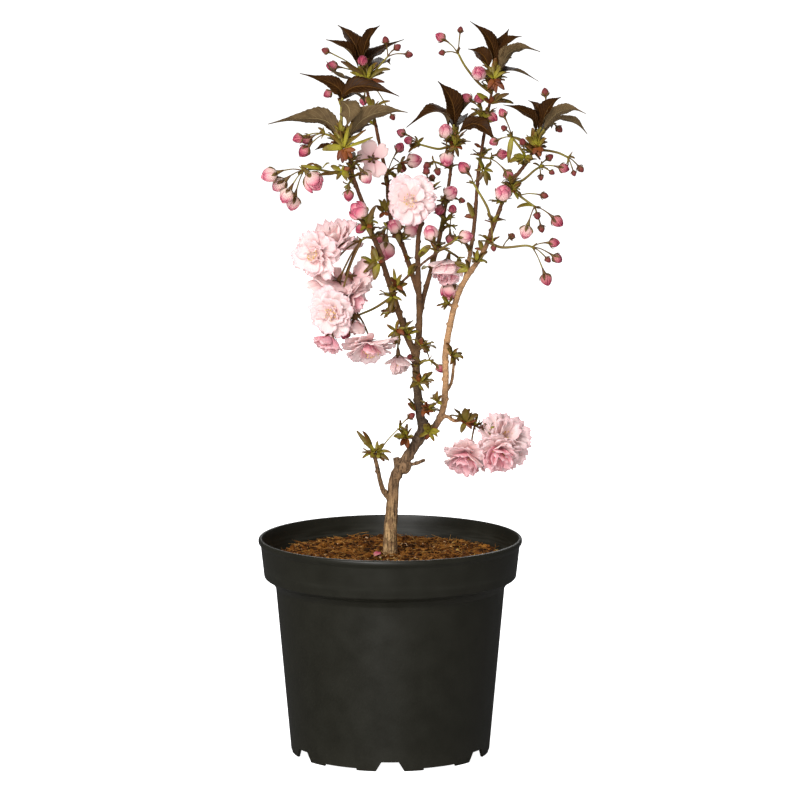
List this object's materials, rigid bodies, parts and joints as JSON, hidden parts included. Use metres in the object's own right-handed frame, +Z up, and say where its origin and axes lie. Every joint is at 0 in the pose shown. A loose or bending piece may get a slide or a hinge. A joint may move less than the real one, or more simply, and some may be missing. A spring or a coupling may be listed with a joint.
{
  "type": "cherry blossom bonsai",
  "caption": "Young flowering cherry with slim upright boughs, double pink blossom, pink buds and bronze leaf tufts, growing in soil in a round black nursery pot.",
  "frame": {"origin": "centre of the plane that the pot stands on, where the axis of the round pot meets it", "axes": "+Z up along the pot's axis and the tree's height, -Y towards the side that the tree faces, +X to the right of someone who looks at that side"},
  "size_m": [0.2846, 0.23, 0.6353],
  "materials": {
    "pot_plastic": "moulded black plastic, satin, with a slightly glossier lip",
    "potting_soil": "loose fibrous peat and bark crumbs",
    "bark": "smooth young bark with fine pores, flaking towards the foot",
    "green_wood_and_buds": "fresh stalks, scales and plump buds, faintly waxy",
    "petals": "soft thin petals, pale pink",
    "leaf": "young bronze leaves, softly shining"
  },
  "bodies": {
    "root": {"pot": "pot_plastic", "soil": "potting_soil", "tree": "bark", "bloom_A": "petals", "bloom_B": "petals", "bloom_C": "petals", "bloom_C2": "petals", "bloom_D": "petals", "bloom_E": "petals", "bloom_F": "petals", "bloom_F2": "petals", "bloom_G": "petals", "bloom_H": "petals", "bloom_I": "petals", "bloom_J": "petals", "bloom_K": "petals", "bloom_L": "petals", "bloom_M": "petals", "bloom_N": "petals", "leaves_backLeftTop": "leaf", "leaves_backRightTop": "leaf", "leaves_leftShoot": "leaf", "leaves_leftTuft": "leaf", "leaves_midTop": "leaf", "leaves_rightTop": "leaf", "spray_backLeftHang": "green_wood_and_buds", "spray_backLeftNode": "green_wood_and_buds", "spray_backLeftPair": "green_wood_and_buds", "spray_backRightFace": "green_wood_and_buds", "spray_crossTip": "green_wood_and_buds", "spray_leftFive": "green_wood_and_buds", "spray_leftHang": "green_wood_and_buds", "spray_leftLong": "green_wood_and_buds", "spray_leftLow": "green_wood_and_buds", "spray_leftMauve": "green_wood_and_buds", "spray_leftNode": "green_wood_and_buds", "spray_leftTip": "green_wood_and_buds", "spray_lowBell": "green_wood_and_buds", "spray_lowThree": "green_wood_and_buds", "spray_lowTip": "green_wood_and_buds", "spray_midDroop": "green_wood_and_buds", "spray_midHigh": "green_wood_and_buds", "spray_midNode": "green_wood_and_buds", "spray_midSide": "green_wood_and_buds", "spray_midTip": "green_wood_and_buds", "spray_middleTip": "green_wood_and_buds", "spray_rightArc": "green_wood_and_buds", "spray_rightBud": "green_wood_and_buds", "spray_rightCrown": "green_wood_and_buds", "spray_rightDroop": "green_wood_and_buds", "spray_rightFork": "green_wood_and_buds", "spray_rightLow": "green_wood_and_buds", "spray_rightNode": "green_wood_and_buds", "spray_rightStar": "green_wood_and_buds", "spray_rosette": "green_wood_and_buds", "spray_stemArch": "green_wood_and_buds", "spray_topLeft": "green_wood_and_buds"}
  },
  "joints": []
}
